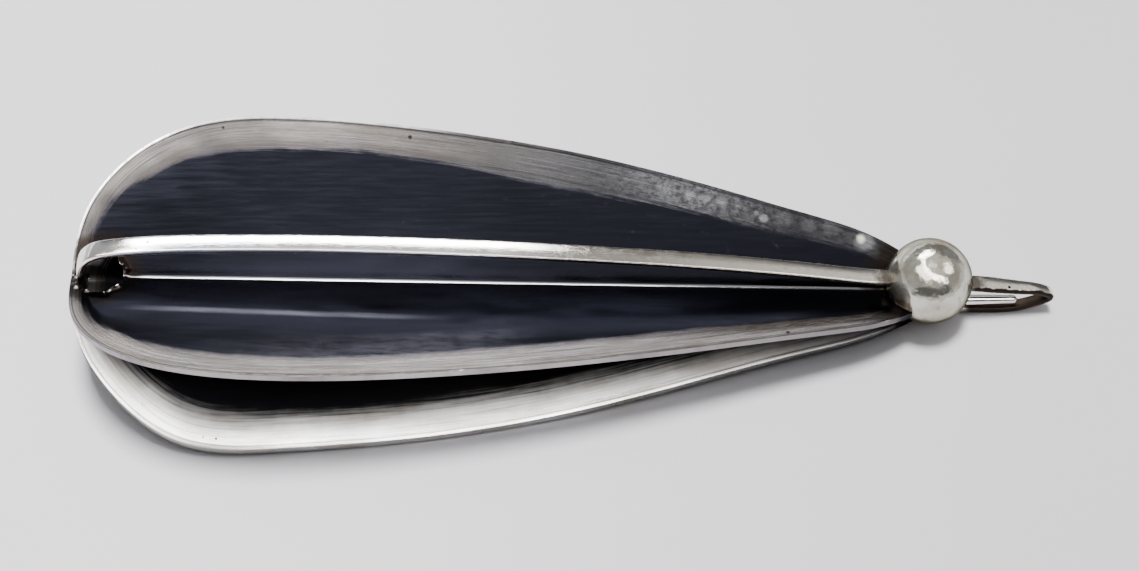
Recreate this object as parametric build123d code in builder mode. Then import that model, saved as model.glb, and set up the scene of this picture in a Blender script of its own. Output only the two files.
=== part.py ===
# A modernist brooch, in millimetres. Two leaves of silver sheet are folded along the
# middle and lie back to back, one opening upward and one opening downward. A flat bow
# strap curls up through a hole at the broad end, arches over the front leaf, passes
# through a ball at the narrow end and turns under into a hook. The pin stem runs from
# the foot of the strap, under the back leaf, to the hook.
#
# Each piece is drawn in the brooch's own plane: x runs along the fold from the broad end,
# y across it, and z up from the fold of the front leaf. That plane is tipped so that the
# brooch stands as it rests, on the two rims of the back leaf and on the hook.
from build123d import *
from math import atan, cos, degrees, radians, sin, tan
import os

# Leaves
leaf_length = 71.6
leaf_half_width = 13.0
sheet = 0.6
front_slope = 22.6
back_slope = 22.6
dish = 0.40
trim_margin = 1.6
rim_inside_reach = 0.03
piece_gap = 0.06

# Bow strap and its curl at the broad end
strap_width = 1.6
strap_end_width = 1.42
strap_thick = 0.55
bow_height = 4.78
curl_inset = 0.86
curl_radius = 2.6
curl_height = 1.04
curl_sweep = 75.0
foot_length = 1.3
foot_bend = 1.5
hole_length = 3.6
hole_width = 4.2
hole_corner = 1.7
slot_gap = 0.12
slot_corner = 0.2

# Ball
ball_radius = 3.6
ball_inset = 1.0
ball_height = 1.3
strap_fall = 4.2
bore_clearance = 0.08

# Hook past the ball
hook_reach = 10.7
hook_depth = 3.57
lip_width = 0.96

# Pin stem
pin_radius = 0.42
tip_radius = 0.22
tip_taper = 12.0
pin_drop_root = 4.5
pin_drop_tip = 1.42
tip_inset = 2.62
pin_clearance = 0.14

# Edge of the front leaf, from the broad end to the narrow end.
# along is a share of leaf_length, half_width a share of leaf_half_width.
front_outline = [
    dict(along=0.012, half_width=0.420),
    dict(along=0.044, half_width=0.672),
    dict(along=0.121, half_width=0.920),
    dict(along=0.240, half_width=1.000),
    dict(along=0.396, half_width=0.952),
    dict(along=0.644, half_width=0.735),
    dict(along=0.860, half_width=0.450),
    dict(along=0.952, half_width=0.272),
]
back_outline = [
    dict(along=0.014, half_width=0.400),
    dict(along=0.045, half_width=0.640),
    dict(along=0.121, half_width=0.925),
    dict(along=0.240, half_width=0.975),
    dict(along=0.383, half_width=0.918),
    dict(along=0.613, half_width=0.705),
    dict(along=0.843, half_width=0.386),
    dict(along=0.945, half_width=0.220),
]

# Cross-sections of a leaf. reach is the half width of the sheet before it is trimmed, as a
# share of leaf_half_width, and tilt the slope of a lobe as a share of the leaf's slope.
front_sections = [
    dict(along=-0.02, reach=0.80, tilt=0.94),
    dict(along=0.10, reach=0.96, tilt=1.03),
    dict(along=0.27, reach=1.00, tilt=1.01),
    dict(along=0.50, reach=0.90, tilt=1.03),
    dict(along=0.75, reach=0.63, tilt=1.06),
    dict(along=0.90, reach=0.45, tilt=1.00),
    dict(along=1.02, reach=0.32, tilt=0.90),
]
back_sections = [
    dict(along=-0.02, reach=0.80, tilt=0.94),
    dict(along=0.10, reach=0.96, tilt=1.02),
    dict(along=0.27, reach=1.00, tilt=1.00),
    dict(along=0.50, reach=0.86, tilt=0.96),
    dict(along=0.75, reach=0.56, tilt=0.84),
    dict(along=0.90, reach=0.38, tilt=0.75),
    dict(along=1.02, reach=0.30, tilt=0.70),
]

# Middle line of the bow. along is a share of the way from the curl to the middle of the
# ball, height a share of bow_height.
bow_line = [
    dict(along=0.123, height=0.958),
    dict(along=0.303, height=1.000),
    dict(along=0.602, height=0.831),
    dict(along=0.843, height=0.506),
]

# Middle line of the hook, from the ball's middle. reach is a share of hook_reach, drop a
# share of hook_depth below the ball's middle.
hook_line = [
    dict(reach=0.770, drop=0.207),
    dict(reach=0.925, drop=0.290),
    dict(reach=1.000, drop=0.440),
    dict(reach=0.901, drop=0.720),
    dict(reach=0.769, drop=0.902),
    dict(reach=0.623, drop=0.977),
    dict(reach=0.282, drop=1.000),
]

ball_x = leaf_length - ball_inset
sheet_height = sheet / cos(radians(front_slope))
back_fold = -(sheet_height + piece_gap)


def lobe_height(section, slope, y):
    """Height of a lobe over its fold at y, in a leaf that opens upward."""
    reach = section["reach"] * leaf_half_width + trim_margin
    sag = dish * section["reach"]
    share = y / reach
    return y * tan(radians(slope * section["tilt"])) - 4 * sag * share * (1 - share)


def rim_slope(section, hook_row):
    """Slope of the line from the back leaf's rim at one section to the hook's underside."""
    half_width = (section["reach"] - rim_inside_reach) * leaf_half_width
    rim = back_fold - lobe_height(section, back_slope, half_width) - sheet_height
    hook_low = ball_height - hook_row["drop"] * hook_depth - strap_thick / 2
    hook_x = ball_x + hook_row["reach"] * hook_reach
    return (hook_low - rim) / (hook_x - section["along"] * leaf_length)


# What the brooch stands on is the line that touches both the rims and the hook.
rest_tilt = degrees(
    atan(
        min(
            max(rim_slope(section, hook_row) for section in back_sections[2:5])
            for hook_row in hook_line[-3:]
        )
    )
)

brooch = Plane(
    origin=(0, 0, 0),
    x_dir=(cos(radians(rest_tilt)), 0, -sin(radians(rest_tilt))),
    z_dir=(sin(radians(rest_tilt)), 0, cos(radians(rest_tilt))),
)
side = Plane(origin=brooch.origin, x_dir=brooch.x_dir, z_dir=-brooch.y_dir)


def cross_plane(x):
    """Plane across the fold at x, with its own x along the brooch's y."""
    return Plane(
        origin=brooch.from_local_coords((x, 0, 0)),
        x_dir=brooch.y_dir,
        z_dir=brooch.x_dir,
    )


def leaf_section(section, slope, fold, way):
    """Closed section of a folded sheet: way is 1 to open upward, -1 downward."""
    reach = section["reach"] * leaf_half_width + trim_margin
    rim = fold + way * lobe_height(section, slope, reach)
    middle = fold + way * lobe_height(section, slope, reach / 2)
    with BuildSketch(cross_plane(section["along"] * leaf_length)) as profile:
        with BuildLine():
            ThreePointArc((-reach, rim), (-reach / 2, middle), (0, fold))
            ThreePointArc((0, fold), (reach / 2, middle), (reach, rim))
            Line((reach, rim), (reach, rim - sheet_height))
            ThreePointArc(
                (reach, rim - sheet_height),
                (reach / 2, middle - sheet_height),
                (0, fold - sheet_height),
            )
            ThreePointArc(
                (0, fold - sheet_height),
                (-reach / 2, middle - sheet_height),
                (-reach, rim - sheet_height),
            )
            Line((-reach, rim - sheet_height), (-reach, rim))
        make_face()
    return profile.sketch


def leaf(outline, sections, slope, fold, way, hole):
    """One folded leaf, trimmed to its outline, with the strap's hole and the ball's seat."""
    far_edge = [
        (row["along"] * leaf_length, row["half_width"] * leaf_half_width)
        for row in outline
    ]
    near_edge = [(x, -y) for x, y in reversed(far_edge)]
    with BuildPart() as folded:
        loft([leaf_section(section, slope, fold, way) for section in sections])
        with BuildSketch(brooch):
            with BuildLine():
                Spline((0, 0), *far_edge, (leaf_length, 0), *near_edge, periodic=True)
            make_face()
        extrude(amount=leaf_half_width, both=True, mode=Mode.INTERSECT)
        with BuildSketch(brooch):
            with Locations((curl_inset - strap_thick / 2 - slot_gap + hole["length"] / 2, 0)):
                RectangleRounded(hole["length"], hole["width"], hole["corner"])
        extrude(amount=leaf_half_width, both=True, mode=Mode.SUBTRACT)
        with Locations(brooch.from_local_coords((ball_x, 0, ball_height))):
            Sphere(ball_radius + piece_gap, mode=Mode.SUBTRACT)
    return folded


# The strap comes up through a slot in the back leaf and a wide hole in the front one.
wide_hole = dict(length=hole_length, width=hole_width, corner=hole_corner)
strap_slot = dict(
    length=strap_thick + 2 * slot_gap, width=strap_width + 2 * slot_gap, corner=slot_corner
)
front_leaf = leaf(front_outline, front_sections, front_slope, 0, 1, wide_hole)
back_leaf = leaf(back_outline, back_sections, back_slope, back_fold, -1, strap_slot)

# Middle line of the strap, in the side plane
half_thick = strap_thick / 2
foot_z = -pin_drop_root
fall = tan(radians(strap_fall))
bend_middle = (curl_inset + foot_bend, foot_z + foot_bend)
curl_middle = (curl_inset + curl_radius, curl_height)
bore_start = (ball_x - 1.08 * ball_radius, ball_height + 1.08 * ball_radius * fall)
bore_end = (ball_x + 1.14 * ball_radius, ball_height - 1.14 * ball_radius * fall)


def around(middle, radius, angle):
    """Point on a circle of the side view, with the angle in degrees."""
    return (
        middle[0] + radius * cos(radians(angle)),
        middle[1] + radius * sin(radians(angle)),
    )


def beside(line, way, count):
    """Points half a thickness to one side of a line, evenly spaced along it."""
    points = []
    for step in range(count + 1):
        place = line @ (step / count)
        heading = line % (step / count)
        points.append(
            (
                place.X - way * half_thick * heading.Y,
                place.Y + way * half_thick * heading.X,
            )
        )
    return points


def side_line(way):
    """One face of the strap from the foot to the hook: way is 1 outside, -1 inside."""
    curl_r = curl_radius + way * half_thick
    bend_r = foot_bend + way * half_thick
    curl_points = [around(curl_middle, curl_r, 180 - share * curl_sweep) for share in (0, 0.5, 1)]
    bend_points = [around(bend_middle, bend_r, angle) for angle in (270, 225, 180)]
    foot_end = (bend_middle[0] + foot_length, bend_points[0][1])
    bow_points = beside(bow_middle, way, 8)
    hook_points = beside(hook_middle, way, 16)
    Line(foot_end, bend_points[0])
    ThreePointArc(*bend_points)
    Line(bend_points[2], curl_points[0])
    ThreePointArc(*curl_points)
    Spline(*bow_points, tangents=[bow_middle % 0, bow_middle % 1])
    Line(bow_points[-1], hook_points[0])
    Spline(*hook_points, tangents=[hook_middle % 0, hook_middle % 1])
    return foot_end, hook_points[-1]


curl_top = around(curl_middle, curl_radius, 180 - curl_sweep)
with BuildLine():
    bow_middle = Spline(
        curl_top,
        *[
            (curl_top[0] + row["along"] * (ball_x - curl_top[0]), row["height"] * bow_height)
            for row in bow_line
        ],
        bore_start,
        tangents=[(sin(radians(curl_sweep)), cos(radians(curl_sweep))), (1, -fall)],
    )
with BuildLine():
    hook_middle = Spline(
        bore_end,
        *[
            (ball_x + row["reach"] * hook_reach, ball_height - row["drop"] * hook_depth)
            for row in hook_line
        ],
        tangents=[(1, -fall), (-1, 0)],
    )
lip_top = ball_height - hook_line[2]["drop"] * hook_depth
width_rows = [
    (-foot_bend, strap_width / 2),
    (0.45 * leaf_length, strap_width / 2),
    (ball_x, strap_end_width / 2),
    (ball_x + 0.5 * hook_reach, strap_end_width / 2),
    (ball_x + 0.95 * hook_reach, lip_width / 2),
    (ball_x + 1.2 * hook_reach, lip_width / 2),
]

with BuildPart() as bow_strap:
    with BuildSketch(side):
        with BuildLine():
            outer_ends = side_line(1)
            inner_ends = side_line(-1)
            Line(outer_ends[0], inner_ends[0])
            Line(outer_ends[1], inner_ends[1])
        make_face()
    extrude(amount=strap_width / 2, both=True)
    with BuildSketch(brooch):
        with BuildLine():
            Polyline(
                *width_rows, *[(x, -y) for x, y in reversed(width_rows)], close=True
            )
        make_face()
    extrude(amount=leaf_half_width, both=True, mode=Mode.INTERSECT)
    for lip_side in (-1, 1):
        with BuildSketch(side.offset(lip_side * lip_width / 2)):
            with Locations((ball_x + hook_reach / 2, lip_top)):
                Rectangle(hook_reach, hook_depth, align=(Align.CENTER, Align.MAX))
        extrude(amount=lip_side * strap_width, mode=Mode.SUBTRACT)

# The pin is straight, and lies in a slot under the ball.
pin_start = (bend_middle[0] + foot_length + piece_gap, foot_z)
pin_end = (ball_x + hook_reach - tip_inset, -pin_drop_tip)
pin_run = (pin_end[0] - pin_start[0], pin_end[1] - pin_start[1])
pin_length = (pin_run[0] ** 2 + pin_run[1] ** 2) ** 0.5
pin_plane = Plane(
    origin=side.from_local_coords((pin_start[0], pin_start[1], 0)),
    x_dir=side.from_local_coords((pin_run[0], pin_run[1], 0)),
    z_dir=-brooch.y_dir,
)

with BuildPart() as ball:
    with Locations(brooch.from_local_coords((ball_x, 0, ball_height))):
        Sphere(ball_radius)
    with BuildSketch(side):
        with BuildLine():
            Line(bore_start, bore_end)
        trace(line_width=strap_thick + 2 * bore_clearance)
    extrude(amount=strap_width / 2 + bore_clearance, both=True, mode=Mode.SUBTRACT)
    with BuildSketch(pin_plane):
        with Locations((ball_x - pin_start[0], -ball_radius)):
            Rectangle(4 * ball_radius, 2 * (ball_radius + pin_radius + pin_clearance))
    extrude(amount=pin_radius + pin_clearance, both=True, mode=Mode.SUBTRACT)

with BuildPart() as pin_stem:
    with BuildSketch(pin_plane):
        with BuildLine():
            Line((0, 0), (0, pin_radius))
            Line((0, pin_radius), (pin_length - tip_taper, pin_radius))
            Line((pin_length - tip_taper, pin_radius), (pin_length - tip_radius, tip_radius))
            RadiusArc((pin_length - tip_radius, tip_radius), (pin_length, 0), tip_radius)
            Line((pin_length, 0), (0, 0))
        make_face()
    revolve(axis=Axis(pin_plane.origin, pin_plane.x_dir))

# The origin is put under the middle of the whole brooch, on what it stands on.
pieces = dict(
    front_leaf=front_leaf.part,
    back_leaf=back_leaf.part,
    bow_strap=bow_strap.part,
    ball=ball.part,
    pin_stem=pin_stem.part,
)
whole = Compound(list(pieces.values())).bounding_box()
to_origin = Location((-whole.center().X, -whole.center().Y, -whole.min.Z))

os.makedirs("parts", exist_ok=True)
for name, piece in pieces.items():
    placed = piece.moved(to_origin)
    placed.label = name
    export_step(placed, f"parts/{name}.step")
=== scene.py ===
# A modernist silver brooch lying on a pale sheet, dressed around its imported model.
import math

import bmesh
import bpy
import numpy as np
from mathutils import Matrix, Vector, noise


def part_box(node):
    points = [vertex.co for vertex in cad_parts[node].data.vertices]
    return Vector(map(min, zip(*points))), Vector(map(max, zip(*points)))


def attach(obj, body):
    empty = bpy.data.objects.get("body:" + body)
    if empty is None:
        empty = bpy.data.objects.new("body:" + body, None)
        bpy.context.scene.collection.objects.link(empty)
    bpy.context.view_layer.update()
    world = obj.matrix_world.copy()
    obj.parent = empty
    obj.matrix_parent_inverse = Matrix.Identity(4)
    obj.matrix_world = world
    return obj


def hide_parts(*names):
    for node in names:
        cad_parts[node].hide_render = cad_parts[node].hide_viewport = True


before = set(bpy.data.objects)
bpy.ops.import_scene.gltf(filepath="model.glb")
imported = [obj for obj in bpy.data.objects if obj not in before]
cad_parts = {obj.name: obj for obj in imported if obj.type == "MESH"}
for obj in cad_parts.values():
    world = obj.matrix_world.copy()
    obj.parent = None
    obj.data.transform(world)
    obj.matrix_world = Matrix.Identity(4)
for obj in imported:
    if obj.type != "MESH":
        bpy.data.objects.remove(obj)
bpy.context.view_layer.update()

mm = 0.001  # the tables below are in millimetres, as on the bench

# How the brooch lies: it leans a little towards the hook
brooch = {
    "restTilt": 4.150,
    "ballAlong": 70.6,
    "ballHeight": 1.3,
    "ballRadius": 3.6,
}

leafPlan = {
    "length": 71.6,
    "halfWidth": 13.0,
    "sheet": 0.6,
    "slope": 22.6,
    "dish": 0.40,
    "trimMargin": 1.6,
    "foldRadius": 0.22,
    "rowsAlong": 300,
    "rowsAcross": 96,
    "crowding": 1.6,
    "edgeBevel": 0.11,
    "edgeSamples": 4000,
    "rimEvery": 5,
    "swell": (0.06, 9.0),
    "ripple": (0.012, 3.0),
    "holeStart": 0.465,
    "holeZone": 7.0,
    "lipReach": 0.55,
    "seatGap": 0.06,
    "gap": 0.06,
}

# Edge and cross-sections of each leaf, from the broad end to the narrow end.
# along and halfWidth are shares of the leaf's length and half width.
frontLeaf = {
    "name": "front_leaf_sheet",
    "way": 1,
    "fold": 0.0,
    "outline": [
        (0.012, 0.420), (0.044, 0.672), (0.121, 0.920), (0.240, 1.000),
        (0.396, 0.952), (0.644, 0.735), (0.860, 0.450), (0.952, 0.272),
    ],
    "sections": [  # along, reach, tilt
        (-0.02, 0.80, 0.94), (0.10, 0.96, 1.03), (0.27, 1.00, 1.01), (0.50, 0.90, 1.03),
        (0.75, 0.63, 1.06), (0.90, 0.45, 1.00), (1.02, 0.32, 0.90),
    ],
    "farBand": [
        (0.5, 0.85), (3.3, 1.60), (6.3, 2.20), (12.5, 2.52), (22.9, 2.28), (30.0, 2.40), (36.9, 2.86),
        (43.7, 2.75), (49.5, 2.36), (57.3, 2.10), (65.0, 1.66), (70.0, 1.30),
    ],
    "nearBand": [
        (0.5, 0.80), (2.3, 1.20), (4.9, 2.05), (11.3, 2.66), (19.0, 2.60), (26.8, 2.62), (34.6, 2.86),
        (42.6, 2.80), (50.8, 2.50), (59.2, 1.90), (64.0, 1.40), (70.0, 1.00),
    ],
    "hole": {"long": 3.6, "wide": 4.2, "square": 0.86, "ragged": 0.10, "lip": 0.24},
    "seed": 3.0,
}
backLeaf = {
    "name": "back_leaf_sheet",
    "way": -1,
    "fold": -(leafPlan["sheet"] / math.cos(math.radians(leafPlan["slope"])) + leafPlan["gap"]),
    "outline": [
        (0.014, 0.400), (0.045, 0.640), (0.121, 0.925), (0.240, 0.975),
        (0.383, 0.918), (0.613, 0.705), (0.843, 0.386), (0.945, 0.220),
    ],
    "sections": [
        (-0.02, 0.80, 0.94), (0.10, 0.96, 1.02), (0.27, 1.00, 1.00), (0.50, 0.86, 0.96),
        (0.75, 0.56, 0.84), (0.90, 0.38, 0.75), (1.02, 0.30, 0.70),
    ],
    "farBand": [(0.5, 0.80), (4.3, 1.50), (10.8, 1.90), (30.9, 1.50), (51.4, 1.10), (70.0, 0.60)],
    "nearBand": [
        (0.5, 0.80), (4.3, 1.40), (6.7, 1.95), (10.8, 1.85), (14.8, 1.60), (22.8, 1.35), (30.9, 1.50),
        (43.1, 1.40), (51.4, 0.95), (60.0, 0.60), (70.0, 0.40),
    ],
    "hole": {"long": 0.79, "wide": 1.84, "square": 0.35, "ragged": 0.0, "lip": 0.0},
    "seed": 11.0,
}

strap = {
    "width": 1.6,
    "endWidth": 1.42,
    "lipWidth": 0.96,
    "thick": 0.55,
    "corner": 0.14,
    "crown": 0.03,
    "bowHeight": 4.78,
    "curlInset": 0.86,
    "curlRadius": 2.6,
    "curlHeight": 1.04,
    "curlSweep": 75.0,
    "footLength": 1.3,
    "footBend": 1.5,
    "footDrop": 4.5,
    "fall": 4.2,
    "hookReach": 10.70,
    "hookDepth": 3.57,
    "bow": [(0.123, 0.958), (0.303, 1.000), (0.602, 0.831), (0.843, 0.506)],
    "hook": [
        (0.770, 0.207), (0.925, 0.290), (1.000, 0.440), (0.901, 0.720),
        (0.769, 0.902), (0.623, 0.977), (0.282, 1.000),
    ],
    "step": 0.22,
    "boreIn": 1.08,
    "boreOut": 1.14,
    "boreGap": 0.08,
    "forged": (0.02, 2.5),
    "sway": (0.03, 6.0),
}

pin = {
    "radius": 0.42,
    "waist": 0.55,
    "tipRadius": 0.38,
    "taper": 7.0,
    "dropRoot": 4.5,
    "dropTip": 1.05,
    "tipInset": 2.62,
    "gap": 0.06,
    "slotGap": 0.14,
}

ball = {
    "segments": 192,
    "rings": 96,
    "dents": [(0.022, 1.9, 4.0), (0.010, 0.8, 9.0)],  # depth, size and seed
}

tilt = math.radians(brooch["restTilt"])
alongAxis = np.array([math.cos(tilt), 0.0, -math.sin(tilt)])
upAxis = np.array([math.sin(tilt), 0.0, math.cos(tilt)])
ballLow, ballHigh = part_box("ball")
ballMiddle = np.array([(ballLow.x + ballHigh.x) / 2 / mm, 0.0, ballHigh.z / mm - brooch["ballRadius"]])
foldStart = ballMiddle - brooch["ballAlong"] * alongAxis - brooch["ballHeight"] * upAxis


def atRest(points):
    points = np.atleast_2d(points).astype(float)
    placed = foldStart + points[:, :1] * alongAxis + points[:, 2:] * upAxis
    placed[:, 1] += points[:, 1]
    return placed * mm


def onBrooch(points):
    away = points / mm - foldStart
    return np.stack([away @ alongAxis, away[:, 1], away @ upAxis], 1)


# Small helpers for the bench

def deselectAll():
    if bpy.context.object and bpy.context.object.mode != "OBJECT":
        bpy.ops.object.mode_set(mode="OBJECT")
    bpy.ops.object.select_all(action="DESELECT")


def newShape(add, **settings):
    deselectAll()
    add(**settings)
    return bpy.context.active_object


def workOn(piece):
    deselectAll()
    piece.select_set(True)
    bpy.context.view_layer.objects.active = piece


def readPoints(piece):
    points = np.empty(len(piece.data.vertices) * 3)
    piece.data.vertices.foreach_get("co", points)
    return points.reshape(-1, 3)


def setPoints(piece, points):
    piece.data.vertices.foreach_set("co", np.asarray(points, float).ravel())
    piece.data.update()


def cutAway(piece, cutter):
    workOn(piece)
    cut = piece.modifiers.new("cut", "BOOLEAN")
    cut.operation = "DIFFERENCE"
    cut.solver = "EXACT"
    cut.object = cutter
    bpy.ops.object.modifier_apply(modifier=cut.name)
    bpy.data.objects.remove(cutter)


def cubicThrough(knots, values, closed=False, slopes=None):
    knots = np.asarray(knots, float)
    values = np.asarray(values, float)
    values = values.reshape(len(knots), -1)
    steps = np.diff(knots)
    count = len(knots) - 1 if closed else len(knots)
    matrix = np.zeros((count, count))
    right = np.zeros((count, values.shape[1]))
    for i in range(count):
        if not closed and i in (0, count - 1):
            if slopes is not None:
                matrix[i, i] = 1
                right[i] = slopes[0 if i == 0 else 1]
                continue
            near = 1 if i == 0 else count - 2
            edge = 0 if i == 0 else count - 2
            matrix[i, i] = 2
            matrix[i, near] = 1
            right[i] = 3 * (values[edge + 1] - values[edge]) / steps[edge]
            continue
        before = steps[i - 1]
        after = steps[i]
        matrix[i, (i - 1) % count] += after
        matrix[i, i] += 2 * (before + after)
        matrix[i, (i + 1) % count] += before
        previous = values[(i - 1) % count]
        following = values[i + 1]
        right[i] = 3 * (after * (values[i] - previous) / before + before * (following - values[i]) / after)
    slope = np.linalg.solve(matrix, right)
    if closed:
        slope = np.vstack([slope, slope[:1]])

    def at(place):
        place = np.asarray(place, float)
        leg = np.clip(np.searchsorted(knots, place, side="right") - 1, 0, len(steps) - 1)
        long = steps[leg][:, None]
        t = ((place - knots[leg]) / steps[leg])[:, None]
        return (
            (2 * t**3 - 3 * t**2 + 1) * values[leg]
            + (t**3 - 2 * t**2 + t) * long * slope[leg]
            + (3 * t**2 - 2 * t**3) * values[leg + 1]
            + (t**3 - t**2) * long * slope[leg + 1]
        )

    return at


def runAlong(points):
    return np.concatenate([[0], np.cumsum(np.linalg.norm(np.diff(points, axis=0), axis=1))])


def lineThrough(points, closed=False, ends=None):
    points = np.asarray(points, float)
    knots = runAlong(points)
    return cubicThrough(knots, points, closed, ends), knots[-1]


def evenly(points, step):
    run = runAlong(points)
    count = max(2, int(round(run[-1] / step)) + 1)
    places = np.linspace(0, run[-1], count)
    return np.stack([np.interp(places, run, points[:, k]) for k in range(points.shape[1])], 1)


def inBatches(count, size):
    return [slice(low, min(low + size, count)) for low in range(0, count, size)]


def wobble(x, y, seed, size):
    return noise.noise(Vector((x / size, y / size, seed)))


def addLayer(piece, label, values):
    layer = piece.data.attributes.new(label, "FLOAT", "POINT")
    layer.data.foreach_set("value", np.asarray(values, np.float32))


def smooth(piece, angle):
    workOn(piece)
    bpy.ops.object.shade_smooth_by_angle(angle=math.radians(angle))
    return piece


# The two leaves

def leafEdge(leaf):
    far = [(a * leafPlan["length"], w * leafPlan["halfWidth"]) for a, w in leaf["outline"]]
    near = [(x, -y) for x, y in reversed(far)]
    points = [(0, 0), *far, (leafPlan["length"], 0), *near, (0, 0)]
    at, total = lineThrough(points, closed=True)
    return at(np.linspace(0, total, leafPlan["edgeSamples"]))


def leafSkin(leaf, x, y):
    table = np.array(leaf["sections"])
    rows = cubicThrough(table[:, 0], table[:, 1:])(x / leafPlan["length"])
    reach = rows[:, 0] * leafPlan["halfWidth"] + leafPlan["trimMargin"]
    sag = leafPlan["dish"] * rows[:, 0]
    soft = np.sqrt(y**2 + leafPlan["foldRadius"] ** 2) - leafPlan["foldRadius"]
    share = soft / reach
    rise = soft * np.tan(np.radians(leafPlan["slope"] * rows[:, 1])) - 4 * sag * share * (1 - share)
    return leaf["fold"] + leaf["way"] * rise


def makeLeaf(leaf):
    edge = leafEdge(leaf)
    half = edge[: len(edge) // 2 + 1]
    half = half[: int(np.argmax(half[:, 0])) + 1]
    rib = evenly(half, runAlong(half)[-1] / leafPlan["rowsAlong"])
    piece = newShape(
        bpy.ops.mesh.primitive_grid_add,
        x_subdivisions=len(rib) - 1, y_subdivisions=leafPlan["rowsAcross"], size=2,
    )
    piece.name = leaf["name"]
    flat = readPoints(piece)
    place = (flat[:, 0] - flat[:, 0].min()) / np.ptp(flat[:, 0]) * (len(rib) - 1)
    across = flat[:, 1] / np.abs(flat[:, 1]).max()
    row = np.clip(np.round(place).astype(int), 0, len(rib) - 1)
    x = rib[row, 0]
    y = rib[row, 1] * np.sign(across) * np.abs(across) ** leafPlan["crowding"]
    z = leafSkin(leaf, x, y)
    swell, swellSize = leafPlan["swell"]
    ripple, rippleSize = leafPlan["ripple"]
    uneven = np.array([wobble(a, b, leaf["seed"], swellSize) for a, b in zip(x, y)])
    finer = np.array([wobble(a, b * 2, leaf["seed"] + 5, rippleSize) for a, b in zip(x, y)])
    near = np.abs(y) / leafPlan["halfWidth"]
    z = z + swell * uneven * near + ripple * finer
    setPoints(piece, atRest(np.stack([x, y, z], 1)))
    workOn(piece)
    bpy.ops.object.mode_set(mode="EDIT")
    bpy.ops.mesh.select_all(action="SELECT")
    bpy.ops.mesh.remove_doubles(threshold=0.004 * mm)
    bpy.ops.mesh.select_all(action="SELECT")
    thick = leafPlan["sheet"] / math.cos(math.radians(leafPlan["slope"])) * mm
    bpy.ops.mesh.extrude_region_move(TRANSFORM_OT_translate={"value": Vector(-upAxis * thick)})
    bpy.ops.mesh.select_all(action="SELECT")
    bpy.ops.mesh.normals_make_consistent(inside=False)
    bpy.ops.mesh.select_all(action="DESELECT")
    bpy.ops.mesh.edges_select_sharp(sharpness=math.radians(50))
    bpy.ops.mesh.bevel(offset=leafPlan["edgeBevel"] * mm, segments=3, profile=0.5, clamp_overlap=True)
    bpy.ops.object.mode_set(mode="OBJECT")
    print(leaf["name"], "bevelled", len(piece.data.polygons))
    cutAway(piece, holeCutter(leaf["hole"]))
    cutAway(piece, seatCutter())
    layRim(piece, leaf, edge)
    raiseLip(piece, leaf["hole"])
    print(leaf["name"], "done", len(piece.data.polygons))
    return smooth(piece, 32)


def edgeOfHole(hole, turn):
    middle = leafPlan["holeStart"] + hole["long"] / 2
    c = np.cos(turn)
    s = np.sin(turn)
    x = np.sign(c) * np.abs(c) ** hole["square"] * hole["long"] / 2
    y = np.sign(s) * np.abs(s) ** hole["square"] * hole["wide"] / 2
    ragged = np.array([noise.noise(Vector((2.2 * a, 2.2 * b, 6.0))) for a, b in zip(c, s)])
    grow = 1 + hole["ragged"] * (ragged + 0.4 * np.cos(5 * turn + 1.0))
    return np.stack([middle + x * grow, y * grow], 1)


def holeCutter(hole):
    cutter = newShape(bpy.ops.mesh.primitive_cylinder_add, vertices=120, radius=1, depth=2)
    disc = readPoints(cutter)
    plan = edgeOfHole(hole, np.arctan2(disc[:, 1], disc[:, 0]))
    setPoints(cutter, atRest(np.column_stack([plan, disc[:, 2] * leafPlan["halfWidth"]])))
    return cutter


def newSphere(segments, rings, radius, turn=0):  # around the ball's middle
    piece = newShape(
        bpy.ops.mesh.primitive_uv_sphere_add,
        segments=segments, ring_count=rings, radius=radius * mm, location=Vector(ballMiddle * mm),
        rotation=(math.radians(turn), 0, 0),
    )
    bpy.ops.object.transform_apply()
    return piece


def seatCutter():
    return newSphere(128, 64, brooch["ballRadius"] + leafPlan["seatGap"])


def layRim(piece, leaf, edge):
    points = onBrooch(readPoints(piece))
    plan = points[:, :2]
    outline = edge[:: leafPlan["rimEvery"]]
    run = runAlong(outline)
    start = outline[:-1]
    way = np.diff(outline, axis=0)
    size = (way**2).sum(1)
    distance = np.empty(len(plan))
    along = np.empty(len(plan))
    for some in inBatches(len(plan), 4000):
        part = plan[some, None]
        t = np.clip(((part - start) * way).sum(2) / size, 0, 1)
        gaps = np.linalg.norm(part - (start + t[:, :, None] * way), axis=2)
        best = gaps.argmin(1)
        pick = np.arange(len(best))
        distance[some] = gaps[pick, best]
        along[some] = run[best] + t[pick, best] * np.sqrt(size[best])
    total = run[-1]
    along = np.where(along > total / 2, along - total, along)
    width = np.where(
        plan[:, 1] > 0,
        np.interp(plan[:, 0], *zip(*leaf["farBand"])),
        np.interp(plan[:, 0], *zip(*leaf["nearBand"])),
    )
    ring = edgeOfHole(leaf["hole"], np.linspace(0, 2 * math.pi, 240))
    fromHole = np.full(len(plan), leafPlan["holeZone"])
    close = plan[:, 0] < leafPlan["holeZone"]
    fromHole[close] = np.linalg.norm(plan[close, None] - ring, axis=2).min(1)
    addLayer(piece, "rimRun", along)
    addLayer(piece, "rimDistance", distance)
    addLayer(piece, "bandEdge", width - distance)
    addLayer(piece, "fromHole", fromHole)


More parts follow.
